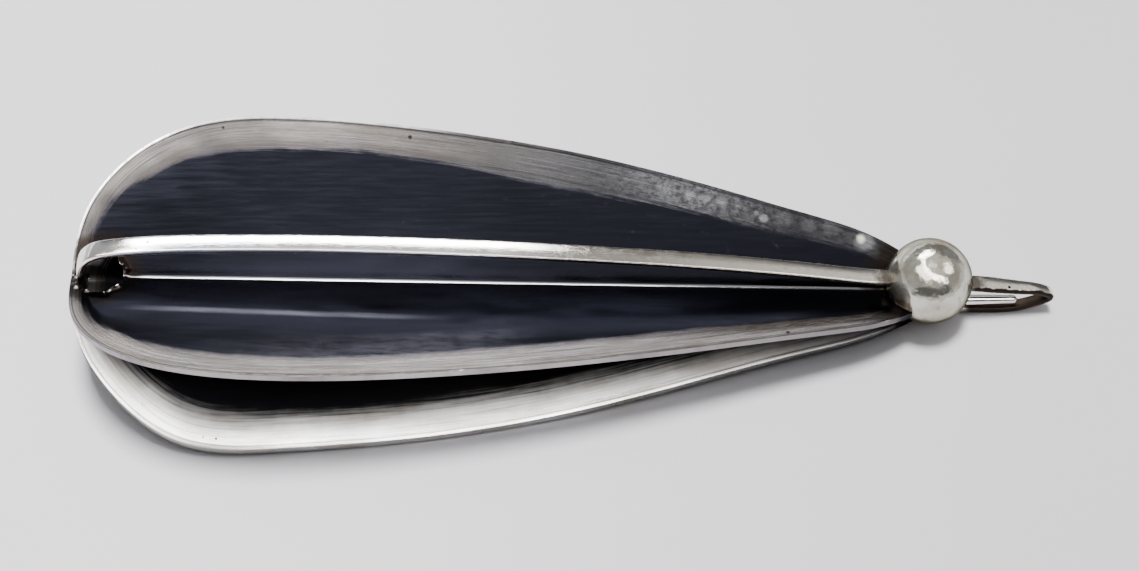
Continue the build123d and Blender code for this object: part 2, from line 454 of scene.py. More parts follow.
def raiseLip(piece, hole):  # solder pushed up in a ragged lip around the hole
    if hole["lip"] == 0:
        return
    points = onBrooch(readPoints(piece))
    away = np.empty(len(points), np.float32)
    piece.data.attributes["fromHole"].data.foreach_get("value", away)
    share = np.clip(1 - away / leafPlan["lipReach"], 0, 1) ** 1.5
    bumps = np.array([noise.noise(Vector((1.6 * x, 1.6 * y, 2.0))) for x, y, z in points])
    points[:, 2] += hole["lip"] * share * np.clip(0.5 + 1.3 * bumps, 0, 1.3)
    setPoints(piece, atRest(points))


# The strap, one forged strip from the foot to the hook

def strapPath():
    rise = math.tan(math.radians(strap["fall"]))
    middle = (brooch["ballAlong"], brooch["ballHeight"])
    radius = brooch["ballRadius"]
    bend = (strap["curlInset"] + strap["footBend"], strap["footBend"] - strap["footDrop"])
    curl = (strap["curlInset"] + strap["curlRadius"], strap["curlHeight"])

    def arc(centre, size, start, end):
        turn = np.radians(np.linspace(start, end, 24))
        return np.stack([centre[0] + size * np.cos(turn), centre[1] + size * np.sin(turn)], 1)

    foot = [(bend[0] + strap["footLength"], bend[1] - strap["footBend"])]
    lower = arc(bend, strap["footBend"], 270, 180)
    upper = arc(curl, strap["curlRadius"], 180, 180 - strap["curlSweep"])
    top = upper[-1]
    before = strap["boreIn"] * radius
    after = strap["boreOut"] * radius
    boreIn = (middle[0] - before, middle[1] + before * rise)
    boreOut = (middle[0] + after, middle[1] - after * rise)
    level = math.hypot(1, rise)
    fallWay = np.array([1, -rise]) / level
    sweep = math.radians(strap["curlSweep"])
    bowPoints = [(top[0] + a * (middle[0] - top[0]), h * strap["bowHeight"]) for a, h in strap["bow"]]
    bowPoints = [tuple(top), *bowPoints, boreIn]
    bow, bowLong = lineThrough(bowPoints, ends=[(math.sin(sweep), math.cos(sweep)), fallWay])
    hookPoints = [boreOut]
    for reach, drop in strap["hook"]:
        hookPoints.append((middle[0] + reach * strap["hookReach"], middle[1] - drop * strap["hookDepth"]))
    hook, hookLong = lineThrough(hookPoints, ends=[fallWay, (-1, 0)])
    bowRun = bow(np.linspace(0, bowLong, 400))[1:]
    line = np.vstack([foot, lower, upper, bowRun, hook(np.linspace(0, hookLong, 200))])
    return evenly(line, strap["step"])


def stripWidth(path):
    middle = brooch["ballAlong"]
    reach = strap["hookReach"]
    rows = [
        (0, strap["width"]), (0.45 * leafPlan["length"], strap["width"]), (middle, strap["endWidth"]),
        (middle + 0.5 * reach, strap["endWidth"]), (middle + 0.95 * reach, strap["lipWidth"]),
    ]
    width = np.interp(path[:, 0], *zip(*rows))
    lipTop = brooch["ballHeight"] - strap["hook"][2][1] * strap["hookDepth"]
    under = (path[:, 0] > middle) & (path[:, 1] < lipTop)
    return np.where(under, strap["lipWidth"], width)


def rectangleRing(width, thick, corner, crown):
    ring = []
    a = width / 2 - corner
    b = thick / 2 - corner
    middles = [(a, b), (-a, b), (-a, -b), (a, -b)]
    for turn, (x, y) in enumerate(middles):
        for k in range(5):
            angle = math.radians(90 * turn + 22.5 * k)
            ring.append((x + corner * math.cos(angle), y + corner * math.sin(angle)))
        start = ring[-1]
        x, y = middles[(turn + 1) % 4]
        angle = math.radians(90 * (turn + 1))
        end = (x + corner * math.cos(angle), y + corner * math.sin(angle))
        steps = (5, 2)[turn % 2]
        for k in range(1, steps + 1):
            share = k / (steps + 1)
            lift = crown * 4 * share * (1 - share)
            ring.append((
                start[0] + share * (end[0] - start[0]) + (turn % 2) * lift * math.cos(angle),
                start[1] + share * (end[1] - start[1]) + (1 - turn % 2) * lift * math.sin(angle),
            ))
    return np.array(ring)


def ringAt(middle, way, across, up):  # square to the way, which lies in the brooch's middle plane
    return atRest(np.stack([middle[0] - up * way[1], across, middle[1] + up * way[0]], 1))


def drawOut(name, rings):
    piece = newShape(bpy.ops.mesh.primitive_circle_add, vertices=len(rings[0]), fill_type="NGON")
    piece.name = name
    setPoints(piece, rings[0])
    bpy.ops.object.mode_set(mode="EDIT")
    bpy.ops.mesh.select_mode(type="FACE")
    bpy.ops.mesh.select_all(action="SELECT")
    for old, new in zip(rings, rings[1:]):
        bpy.ops.mesh.extrude_region_move()
        mesh = bmesh.from_edit_mesh(piece.data)
        front = next(f for f in mesh.faces if f.select)
        for v in front.verts:
            v.co = new[int(np.argmin(((old - np.array(v.co)) ** 2).sum(1)))]
        bmesh.update_edit_mesh(piece.data)
    bpy.ops.mesh.select_all(action="SELECT")
    bpy.ops.mesh.normals_make_consistent(inside=False)
    bpy.ops.object.mode_set(mode="OBJECT")
    return piece


def makeStrap():
    path = strapPath()
    width = stripWidth(path)
    heading = np.gradient(path, axis=0)
    heading /= np.linalg.norm(heading, axis=1)[:, None]
    forged, forgedSize = strap["forged"]
    sway, swaySize = strap["sway"]
    rings = []
    for k, (spot, way) in enumerate(zip(path, heading)):
        wider = forged * wobble(k * strap["step"], 0, 21.0, forgedSize)
        ring = rectangleRing(width[k] + wider, strap["thick"], strap["corner"], strap["crown"])
        aside = sway * wobble(k * strap["step"], 0, 33.0, swaySize)
        rings.append(ringAt(spot, way, ring[:, 0] + aside, ring[:, 1]))
    piece = drawOut("bow_strip", rings)
    local = onBrooch(readPoints(piece))
    side = local[:, [0, 2]]
    nearest = np.empty(len(side), int)
    for some in inBatches(len(side), 2000):
        nearest[some] = ((side[some, None] - path) ** 2).sum(2).argmin(1)
    across = np.stack([-heading[:, 1], heading[:, 0]], 1)[nearest]
    addLayer(piece, "stripRun", nearest * strap["step"])
    addLayer(piece, "stripSide", ((side - path[nearest]) * across).sum(1) / (strap["thick"] / 2))
    addLayer(piece, "stripEdge", width[nearest] / 2 - np.abs(local[:, 1]))
    return smooth(piece, 40)


def pinLine():
    start = (strap["curlInset"] + strap["footBend"] + strap["footLength"] + pin["gap"], -pin["dropRoot"])
    end = (brooch["ballAlong"] + strap["hookReach"] - pin["tipInset"], -pin["dropTip"])
    return np.array(start), np.array(end)


def makePin():
    start, end = pinLine()
    long = np.linalg.norm(end - start)
    way = (end - start) / long
    turn = np.linspace(0, 2 * math.pi, 32, endpoint=False)
    stations = [(0.0, pin["radius"] - 0.1), (0.03, pin["radius"] - 0.03), (0.1, pin["radius"])]
    for s in np.linspace(1, long - pin["taper"], 24):
        swell = max(0.0, (s - 0.8 * long) / (0.2 * long - pin["taper"]))
        stations.append((s, pin["radius"] + swell * (pin["waist"] - pin["radius"])))
    straight = long - pin["tipRadius"]
    for share in np.linspace(0.06, 1, 16):
        stations.append((
            long - pin["taper"] + share * (straight - long + pin["taper"]),
            pin["waist"] + share * (pin["tipRadius"] - pin["waist"]),
        ))
    for angle in np.radians((18, 36, 54, 70, 82)):
        stations.append((straight + pin["tipRadius"] * math.sin(angle), pin["tipRadius"] * math.cos(angle)))
    rings = [ringAt(start + s * way, way, r * np.cos(turn), r * np.sin(turn)) for s, r in stations]
    piece = drawOut("pin_wire", rings)
    return smooth(piece, 40)


def makeBall():
    piece = newSphere(ball["segments"], ball["rings"], brooch["ballRadius"], 90)
    piece.name = "silver_ball"
    points = readPoints(piece) / mm
    away = points - ballMiddle
    dents = np.array([
        sum(depth * noise.noise(Vector(v / size + seed)) for depth, size, seed in ball["dents"])
        for v in away
    ])
    setPoints(piece, (ballMiddle + away * (1 - np.abs(dents) / brooch["ballRadius"])[:, None]) * mm)
    cutAway(piece, boreCutter())
    cutAway(piece, slotCutter())
    return smooth(piece, 30)


def cubeCutter():  # a unit cube, its corners, and how far each lies along the brooch from the ball
    cutter = newShape(bpy.ops.mesh.primitive_cube_add, size=1)
    box = readPoints(cutter)
    return cutter, box, box[:, 0] * 4 * brooch["ballRadius"]


def boreCutter():
    cutter, box, x = cubeCutter()
    rise = math.tan(math.radians(strap["fall"]))
    spot = np.stack([
        brooch["ballAlong"] + x,
        box[:, 1] * (strap["width"] + 2 * strap["boreGap"]),
        brooch["ballHeight"] - x * rise + box[:, 2] * (strap["thick"] + 2 * strap["boreGap"]),
    ], 1)
    setPoints(cutter, atRest(spot))
    return cutter


def slotCutter():
    cutter, box, x = cubeCutter()
    start, end = pinLine()
    slope = (end[1] - start[1]) / (end[0] - start[0])
    middle = start[1] + (brooch["ballAlong"] - start[0]) * slope
    top = pin["waist"] + pin["slotGap"]
    z = np.where(box[:, 2] > 0, top, -3 * brooch["ballRadius"])
    setPoints(cutter, atRest(np.stack([
        brooch["ballAlong"] + x,
        box[:, 1] * 2 * (pin["waist"] + pin["slotGap"]),
        middle + x * slope + z,
    ], 1)))
    return cutter


# Materials: every pattern is read in millimetres. The tables of a look are
# grain: what the noise follows, its scale, detail, roughness and stretch
# shift: a value, the grain that moves it and how far
# fade: what is read, where the fade starts and ends, and the shares there unless 0 and 1

def fill(tree, made, inputs):
    for key, value in inputs.items():
        if isinstance(value, bpy.types.NodeSocket):
            tree.links.new(value, made.inputs[key])
        else:
            made.inputs[key].default_value = value


def node(tree, kind, inputs=None, **settings):
    made = tree.nodes.new(kind)
    for key, value in settings.items():
        setattr(made, key, value)
    fill(tree, made, inputs or {})
    return made


def sums(tree, operation, first, second=0.0):
    return node(tree, "ShaderNodeMath", {0: first, 1: second}, operation=operation).outputs[0]


def times(tree, first, *others):
    for other in others:
        first = sums(tree, "MULTIPLY", first, other)
    return first


def span(tree, value, low, high, outLow=0.0, outHigh=1.0):
    return node(
        tree, "ShaderNodeMapRange",
        {"Value": value, "From Min": low, "From Max": high, "To Min": outLow, "To Max": outHigh},
        interpolation_type="SMOOTHSTEP",
    ).outputs["Result"]


def fadesOf(tree, maps, table):  # gives a function that multiplies the fades it is asked for
    def fade(*names):
        return times(tree, *[span(tree, maps[table[name][0]], *table[name][1:]) for name in names])

    return fade


def blendColour(tree, share, first, second):
    made = node(tree, "ShaderNodeMix", data_type="RGBA")
    for key, value in (("Factor_Float", share), ("A_Color", first), ("B_Color", second)):
        socket = next(s for s in made.inputs if s.identifier == key)
        if isinstance(value, bpy.types.NodeSocket):
            tree.links.new(value, socket)
        else:
            socket.default_value = (*value, 1)
    return next(s for s in made.outputs if s.identifier == "Result_Color")


def product(tree, first, second):
    return node(tree, "ShaderNodeVectorMath", {0: first, 1: second}, operation="MULTIPLY").outputs[0]


def gapTo(tree, place, spot):
    return node(tree, "ShaderNodeVectorMath", {0: place, 1: spot}, operation="DISTANCE").outputs["Value"]


def grain(tree, vector, scale, detail, rough, stretch=None):
    if stretch is not None:
        vector = node(tree, "ShaderNodeMapping", {"Vector": vector, "Scale": stretch}).outputs[0]
    return node(
        tree, "ShaderNodeTexNoise",
        {"Vector": vector, "Scale": scale, "Detail": detail, "Roughness": rough},
    ).outputs["Fac"]


def shiftedBy(tree, value, pattern, size):  # moves a value by a pattern around its middle grey
    return sums(tree, "ADD", value, times(tree, sums(tree, "SUBTRACT", pattern, 0.5), size))


def bumpFrom(tree, height, strength, size):
    return node(
        tree, "ShaderNodeBump", {"Strength": strength, "Distance": size * mm, "Height": height},
    ).outputs[0]


def startFinish(name, look):  # a material, its maps and a function that fades by them
    made = bpy.data.materials.new(name)
    made.use_nodes = True
    tree = made.node_tree
    metres = node(tree, "ShaderNodeTexCoord").outputs["Object"]
    place = product(tree, metres, (1 / mm, 1 / mm, 1 / mm))
    parts = node(tree, "ShaderNodeSeparateXYZ", {0: place}).outputs
    maps = {"place": place, "flat": product(tree, place, (1, 1, 0)), "x": parts["X"], "y": parts["Y"]}
    fromBall = gapTo(tree, place, tuple(ballMiddle))
    maps["gapToBall"] = sums(tree, "SUBTRACT", fromBall, brooch["ballRadius"])
    for layer in look.get("layers", ()):
        maps[layer] = node(tree, "ShaderNodeAttribute", attribute_name=layer).outputs["Fac"]
    if "seed" in look:
        rim = {"X": maps["rimRun"], "Y": maps["rimDistance"], "Z": look["seed"]}
        maps["alongRim"] = node(tree, "ShaderNodeCombineXYZ", rim).outputs[0]
    for name, (follows, *settings) in look["grain"].items():
        maps[name] = grain(tree, maps[follows], *settings)
    for name, (value, pattern, size) in look.get("shift", {}).items():
        maps[name] = shiftedBy(tree, maps[value], maps[pattern], size)
    return made, tree, maps, fadesOf(tree, maps, look["fade"])


def coated(tree, look, fade, colour, coats):  # each coat is its colour and the fades that bound it
    for coat, *names in coats:
        colour = blendColour(tree, fade(*names), colour, look[coat])
    return colour


def finished(made, inputs):
    fill(made.node_tree, made.node_tree.nodes["Principled BSDF"], inputs)
    return made


toneHalf = 42.0  # tone tables reach this far each way from the brooch's middle, in millimetres


def toneAlong(tree, maps, table):  # grey tones along the brooch, by the table's x
    share = sums(tree, "ADD", times(tree, maps["x"], 0.5 / toneHalf), 0.5)
    ramp = node(tree, "ShaderNodeValToRGB", {0: share})
    stops = ramp.color_ramp.elements
    while len(stops) < len(table):
        stops.new(0.5)
    for stop, (at, tone) in zip(stops, table):
        stop.position = 0.5 * at / toneHalf + 0.5
        stop.color = (tone, tone, tone, 1)
    return ramp.outputs["Color"]


def nearSpot(tree, place, spot, inner, outer):  # 1 within the inner radius of a spot, 0 beyond the outer
    return span(tree, gapTo(tree, place, spot), inner, outer, 1.0, 0.0)


speckCore = 0.6  # share of a speck's radius that is fully dark


def speckled(tree, place, specks, colour, dark):  # each speck is its x, y, perhaps z, and its radius
    for *middle, radius in specks:
        share = nearSpot(tree, place, (*middle, 0)[:3], speckCore * radius, radius)
        colour = blendColour(tree, share, colour, dark)
    return colour


frontLook = {
    "seed": 0.0,
    "silver": (0.82, 0.765, 0.735),
    "warm": (0.66, 0.605, 0.53),
    "grey": (0.27, 0.235, 0.24),
    "brown": (0.16, 0.135, 0.14),
    "oxide": (0.020, 0.0205, 0.029),
    "oxideLight": (0.0235, 0.024, 0.033),
    "cloudy": (0.66, 0.66, 0.69),
    "hotSpot": (0.98, 0.92, 0.80),
    # worn: rubbed oxide, lightened also as a painted sheen on the near lobe
    "worn": (0.12, 0.12, 0.145),
    "rimLight": (0.97, 0.97, 0.97),
    # colour of the painted sheen line on the near lobe
    "sheenLine": (0.15, 0.15, 0.175),
    "tarnish": (0.020, 0.015, 0.012),
    # pale stain colour, also used for the painted fold highlight and a painted glow on the far lobe
    "stainAndHighlight": (0.70, 0.70, 0.72),
    "edgeTint": (0.72, 0.74, 0.80, 1),
    "silverRough": (0.16, 0.32),
    "oxideRough": (0.12, 0.18),
    "scratches": (0.22, 0.02),  # strength and depth
    "blur": 0.25,
    "foldShine": 0.66,
    "streaky": 0.88,
    "fringe": 0.35,
    "gleam": 0.85,
    "edgeShade": 0.62,
    "line": (0.028, 5.03, 0.25),  # the painted sheen line's slope in plan, distance from the fold and wander
    # tone tables: painted brighter and darker reflections along the bands and the oxide, by x in
    # millimetres
    "farTone": [
        (-40, 0.15), (-30, 0.14), (-22, 0.30), (-14, 0.23), (-6, 0.115), (3, 0.10), (11, 0.21),
        (19, 0.08), (25, 0.12), (30, 0.08),
    ],
    "nearTone": [(-40, 0.76), (-10, 0.95), (2, 0.92), (8, 0.74), (16, 0.58), (24, 0.4), (30, 0.2)],
    "nearOxide": [(-40, 0.70), (-8, 0.85), (-1, 0.40), (30, 0.7)],
    "farOxide": [(-40, 0.60), (-32, 0.65), (-25, 1.0), (-12, 1.0), (-4, 0.8), (30, 0.7)],
    "stains": [  # x, y, radius and strength; the wide one at x 25 is a painted glow around the glint
        (10.35, 7.32, 0.6, 0.11), (11.6, 7.1, 0.5, 0.12), (13.1, 6.97, 0.5, 0.10), (14.4, 6.7, 0.4, 0.07),
        (15.9, 6.0, 0.26, 0.14), (16.5, 5.62, 0.42, 0.24), (8.3, 7.7, 0.8, 0.06), (18.2, 5.6, 0.8, 0.06),
        (20.3, 5.1, 0.7, 0.06), (25.0, 3.9, 0.95, 0.22), (22.2, 4.9, 0.8, 0.05),
    ],
    "stainForm": {"squeeze": 0.8, "core": 0.15, "border": 1.2, "ragged": 0.8, "ends": (0.1, 0.9)},
    # painted highlights: x, y and radius
    "glints": [(24.7, 4.15, 0.5)],
    "specks": [
        (-13.04, 11.64, 0.20), (-28.5, 12.0, 0.14), (-4.42, 11.39, 0.14), (17.4, -6.27, 0.20),
        (3.0, 10.6, 0.09), (-20.0, 11.2, 0.07),
    ],
    "layers": ("rimRun", "rimDistance", "bandEdge", "fromHole"),
    "grain": {
        "streaks": ("alongRim", 1.0, 5.0, 0.6, (0.09, 5.0, 1.0)),
        "fineStreaks": ("alongRim", 1.0, 4.0, 0.6, (0.3, 16.0, 1.0)),
        "patches": ("alongRim", 1.0, 4.0, 0.6, (0.16, 0.8, 1.0)),
        "blotches": ("place", 0.55, 5.0, 0.6),
        "mottle": ("place", 1.3, 5.0, 0.65),
        "clouds": ("place", 2.4, 5.0, 0.72),
        "teeth": ("place", 0.9, 3.0, 0.6),
        "brushed": ("place", 1.0, 5.0, 0.62, (0.10, 3.2, 3.2)),
        "fineBrush": ("place", 1.0, 3.0, 0.6, (0.25, 11.0, 11.0)),
        "ripples": ("place", 1.0, 5.0, 0.7, (0.7, 2.6, 2.6)),
    },
    "shift": {
        "streakyEdge": ("bandEdge", "streaks", 0.9),
        "nibbledEdge": ("streakyEdge", "fineStreaks", 0.5),
        "ragged": ("nibbledEdge", "blotches", 0.5),
        "groove": ("rimDistance", "fineStreaks", 0.25),
        "besideFold": ("y", "fineBrush", 0.05),
        "scar": ("fromHole", "mottle", 1.6),
        "lip": ("fromHole", "teeth", 1.3),
        "burnt": ("gapToBall", "blotches", 2.2),
    },
    "fade": {
        "farHalf": ("y", 0.0, 1.0),
        "nearHalf": ("y", -0.6, -0.1, 1, 0),
        "acrossFold": ("y", -1.0, 1.0),
        "warmPatches": ("patches", 0.38, 0.66),
        "greyStreaks": ("streaks", 0.44, 0.66),
        "greyLines": ("fineStreaks", 0.52, 0.72, 0.0, 0.6),
        "brownBorder": ("ragged", 0.1, 1.0, 0.6, 0.0),
        "cloudyEnd": ("x", -12.0, 0.0, 0.0, 0.7),
        "grooveStart": ("groove", 0.16, 0.21),
        "grooveEnd": ("groove", 0.26, 0.36, 0.75, 0.0),
        "brightEnd": ("x", -14.0, -8.0, 1, 0),
        # painted shade: a dark line along the edge
        "turnedEdge": ("rimDistance", 0.02, 0.12, 1, 0),
        "rimLine": ("rimDistance", 0.08, 0.20, 0.95, 0.0),
        "mottledEnd": ("x", -3.0, 8.0),
        "mottledClouds": ("clouds", 0.40, 0.62, 0.0, 0.80),
        "brushedOxide": ("brushed", 0.35, 0.7),
        "foldLine": ("fromFold", 0.08, 0.20, 1, 0),
        "foldEnd": ("x", -20.0, 0.0, 1.0, 0.55),
        "rubbedBorder": ("ragged", -3.4, -0.9),
        "rubbedStart": ("x", -34.0, -12.0),
        "rubbedEnd": ("x", -11.0, -1.0, 1, 0),
        "rubbedHalf": ("y", -1.0, 0.0, 1, 0),
        "rubbedRipples": ("ripples", 0.24, 0.62),
        "lineWidth": ("line", 0.05, 0.50, 1, 0),
        "lineStart": ("x", -37.0, -30.0),
        "lineEnd": ("x", -20.0, -8.0, 1, 0),
        "scar": ("scar", 0.9, 2.0, 0.85, 0.0),
        "lip": ("lip", -0.1, 0.06, 1, 0),
        "burnt": ("burnt", 0.7, 2.4, 0.95, 0.0),
    },
}
backLook = {
    **frontLook,
    "seed": 40.0,
    "silver": (0.86, 0.85, 0.83),
    "warm": (0.66, 0.63, 0.55),
    "grey": (0.36, 0.34, 0.335),
    # darker than the front's: oxide, with painted shade from the front leaf above
    "oxide": (0.0025, 0.0025, 0.003),
    "oxideLight": (0.004, 0.004, 0.005),
    "worn": (0.003, 0.003, 0.0035),
    "tarnish": (0.003, 0.0025, 0.002),
    "edgeTint": (0.15, 0.15, 0.15, 1),
    "oxideRough": (0.48, 0.54),
    "blur": 1.5,
    "foldShine": 0.0,
    "streaky": 0.50,
    "fringe": 0.0,
    "gleam": 0.0,
    "edgeShade": 0.05,
    "farTone": [(-40, 0.9), (20, 0.9), (30, 0.3)],
    "nearTone": [
        (-40, 0.92), (-34, 0.75), (-29, 0.55), (-22, 0.95), (-4, 1.0), (8, 0.95), (16, 0.7), (30, 0.2),
    ],
    "stains": [],
    "glints": [],
    "specks": [(-29.9, -11.87, 0.09), (-28.87, -12.0, 0.11), (18.4, -6.65, 0.2)],
    "shift": {**frontLook["shift"], "streakyEdge": ("bandEdge", "streaks", 2.4)},
}


def rimSilver(tree, look, maps, fade):  # the brushed band, with painted shade as a dark line along its edge and a painted highlight along the far rim's broad end
    silver = blendColour(tree, fade("warmPatches"), look["silver"], look["warm"])
    for name, colour in (("greyStreaks", "grey"), ("greyLines", "grey"), ("brownBorder", "brown")):
        silver = blendColour(tree, times(tree, fade(name), look["streaky"]), silver, look[colour])
    silver = coated(tree, look, fade, silver, [
        ("cloudy", "farHalf", "cloudyEnd"), ("brown", "grooveStart", "grooveEnd"),
    ])
    # painted reflections: the tone tables make the band brighter and darker along the brooch
    tones = [toneAlong(tree, maps, look[name]) for name in ("nearTone", "farTone")]
    silver = product(tree, silver, blendColour(tree, fade("acrossFold"), *tones))
    farEnd = fade("farHalf", "brightEnd")
    edgeShadeShare = times(tree, fade("turnedEdge"), sums(tree, "SUBTRACT", 1.0, farEnd), look["edgeShade"])
    silver = blendColour(tree, edgeShadeShare, silver, look["brown"])
    silver = blendColour(tree, times(tree, farEnd, fade("rimLine")), silver, look["rimLight"])
    return blendColour(tree, fade("mottledEnd", "mottledClouds", "farHalf"), silver, look["oxideLight"])


def insideOxide(tree, look, maps, fade):  # black oxide, with a painted highlight along the fold, painted sheen on the rubbed oxide near the rim, and a painted sheen line beside the fold
    oxide = blendColour(tree, fade("brushedOxide"), look["oxide"], look["oxideLight"])
    # painted highlight: a pale line along the fold, fading towards the narrow end
    shine = times(tree, fade("foldLine", "foldEnd"), look["foldShine"])
    oxide = blendColour(tree, shine, oxide, look["stainAndHighlight"])
    # painted reflections: the tone tables make the oxide brighter and darker along the brooch
    tones = [toneAlong(tree, maps, look[name]) for name in ("farOxide", "nearOxide")]
    oxide = product(tree, oxide, blendColour(tree, fade("nearHalf"), *tones))
    # rubbed oxide near the near rim, lightened also as a painted sheen
    rubbedAndSheen = fade("rubbedBorder", "rubbedEnd", "rubbedStart", "rubbedHalf", "rubbedRipples")
    oxide = blendColour(tree, rubbedAndSheen, oxide, look["worn"])
    # painted sheen: a soft light line along the near lobe
    line = times(tree, fade("lineWidth", "lineStart", "lineEnd"), look["gleam"])
    return blendColour(tree, line, oxide, look["sheenLine"])


def leafMarks(tree, look, maps, fade, colour):  # stains, one of them a painted glow, a painted glint, the hole's scar and lip, heat and specks
    form = look["stainForm"]
    squeezed = product(tree, maps["place"], (form["squeeze"], 1, 0))
    for x, y, radius, strength in look["stains"]:
        spot = (form["squeeze"] * x, y, 0)
        share = nearSpot(tree, squeezed, spot, form["core"] * radius, form["border"] * radius)
        share = span(tree, shiftedBy(tree, share, maps["mottle"], form["ragged"]), *form["ends"])
        colour = blendColour(tree, times(tree, share, strength), colour, look["stainAndHighlight"])
    # painted highlight: a warm glint on the far lobe
    for x, y, radius in look["glints"]:
        share = nearSpot(tree, maps["flat"], (x, y, 0), 0.2 * radius, radius)
        colour = blendColour(tree, share, colour, look["hotSpot"])
    colour = blendColour(tree, fade("scar"), colour, look["tarnish"])
    colour = blendColour(tree, times(tree, fade("lip"), look["fringe"]), colour, look["silver"])
    colour = blendColour(tree, fade("burnt"), colour, look["tarnish"])
    return speckled(tree, maps["flat"], look["specks"], colour, look["tarnish"])


def leafFinish(name, look):
    made, tree, maps, fade = startFinish(name, look)
    slope, away, wander = look["line"]
    lean = sums(tree, "ADD", times(tree, maps["x"], slope), away)
    fromLine = sums(tree, "ABSOLUTE", sums(tree, "ADD", maps["y"], lean))
    maps["line"] = shiftedBy(tree, fromLine, maps["ripples"], wander)
    maps["fromFold"] = sums(tree, "ABSOLUTE", maps["besideFold"])
    bright = span(tree, maps["ragged"], -look["blur"], look["blur"])  # where the oxide was rubbed off
    oxide = insideOxide(tree, look, maps, fade)
    colour = blendColour(tree, bright, oxide, rimSilver(tree, look, maps, fade))
    oxideRough = span(tree, maps["brushed"], 0.3, 0.7, *look["oxideRough"])
    silverRough = span(tree, maps["streaks"], 0.3, 0.75, *look["silverRough"])
    rough = node(tree, "ShaderNodeMix", {0: bright, 2: oxideRough, 3: silverRough}, data_type="FLOAT")
    scratch = times(tree, sums(tree, "ADD", maps["streaks"], maps["fineStreaks"]), bright)
    scratch = sums(tree, "ADD", scratch, times(tree, maps["fineBrush"], 0.10))
    return finished(made, {
        "Base Color": leafMarks(tree, look, maps, fade, colour),
        "Metallic": 1.0,
        "Specular Tint": look["edgeTint"],
        "Roughness": rough.outputs[0],
        "Normal": bumpFrom(tree, scratch, *look["scratches"]),
    })


strapLook = {
    "silver": (0.93, 0.925, 0.915),
    "warm": (0.84, 0.80, 0.75),
    "cool": (0.78, 0.85, 1.0),
    "dull": (0.85, 0.79, 0.69),
    "worn": (0.34, 0.31, 0.28),
    "dark": (0.018, 0.013, 0.010),
    "darkRough": 0.35,
    "tone": [(-40, 1.0), (-8, 1.0), (-2, 0.76), (4, 0.44), (9, 0.60), (15, 0.74), (24, 0.88), (40, 1.0)],
    "specks": [(-33.7, 0.1, 0.14), (36.8, -0.3, 0.16), (-34.6, -0.5, 0.09)],
    "layers": ("stripEdge", "stripSide", "stripRun"),
    "grain": {
        "patches": ("place", 0.35, 4.0, 0.6),
        "worn": ("place", 1.0, 5.0, 0.65, (0.9, 2.4, 2.4)),
        "fine": ("place", 1.0, 3.0, 0.6, (0.5, 9.0, 9.0)),
        "swept": ("place", 1.0, 5.0, 0.65, (0.22, 1.6, 1.6)),
        "chips": ("place", 1.4, 4.0, 0.6),
        "scribble": ("place", 1.1, 3.0, 0.5),
    },
    "shift": {
        "burnt": ("gapToBall", "chips", 1.6),
        "border": ("stripEdge", "chips", 0.6),
        "under": ("stripSide", "chips", 0.7),
        "root": ("stripRun", "chips", 1.2),
    },
    "fade": {
        "warmPatches": ("patches", 0.40, 0.62),
        "swept": ("swept", 0.50, 0.66),
        "sweptStart": ("x", -32.4, -31.0),
        "sweptEnd": ("x", -22.0, -10.0, 0.9, 0.3),
        "dullEnd": ("x", -8.0, 6.0),
        "scribbled": ("fromScribble", 0.015, 0.05),
        "smudgeStart": ("x", -6.0, 0.0),
        "smudgeEnd": ("x", 3.0, 12.0, 0.7, 0.12),
        "worn": ("worn", 0.58, 0.74, 0.0, 0.4),
        "burnt": ("burnt", 0.5, 1.5, 0.9, 0.0),
        "border": ("border", 0.08, 0.20, 1, 0),
        "under": ("under", -0.50, -0.15, 1, 0),
        "onHook": ("x", ballMiddle[0] + 2.0, ballMiddle[0] + 4.0),
        # the foot down in the hole: oxide with painted shade
        "root": ("root", 7.4, 8.4, 1, 0),
        "rough": ("worn", 0.35, 0.7, 0.07, 0.17),
    },
}


def strapFinish(look):
    made, tree, maps, fade = startFinish("forged silver", look)
    maps["fromScribble"] = sums(tree, "ABSOLUTE", sums(tree, "SUBTRACT", maps["scribble"], 0.5))
    colour = coated(tree, look, fade, look["silver"], [
        ("warm", "warmPatches"), ("cool", "swept", "sweptStart", "sweptEnd"), ("dull", "dullEnd"),
    ])
    colour = product(tree, colour, toneAlong(tree, maps, look["tone"]))
    colour = coated(tree, look, fade, colour, [
        ("worn", "scribbled", "smudgeStart", "smudgeEnd"), ("worn", "worn"),
    ])
    # near-black: tarnish beside the ball and along the hook's edges, darkened all over the hook's inside,
    # and at the foot down in the hole oxide with painted shade
    dark = times(tree, sums(tree, "MAXIMUM", fade("border"), fade("under")), fade("onHook"))
    for name in ("burnt", "root"):
        dark = sums(tree, "MAXIMUM", dark, fade(name))
    colour = blendColour(tree, dark, colour, look["dark"])
    height = sums(tree, "ADD", maps["worn"], maps["fine"])
    return finished(made, {
        "Base Color": speckled(tree, maps["flat"], look["specks"], colour, look["dark"]),
        "Metallic": 1.0,
        "Roughness": sums(tree, "ADD", fade("rough"), times(tree, dark, look["darkRough"])),
        "Normal": bumpFrom(tree, height, 0.25, 0.02),
    })


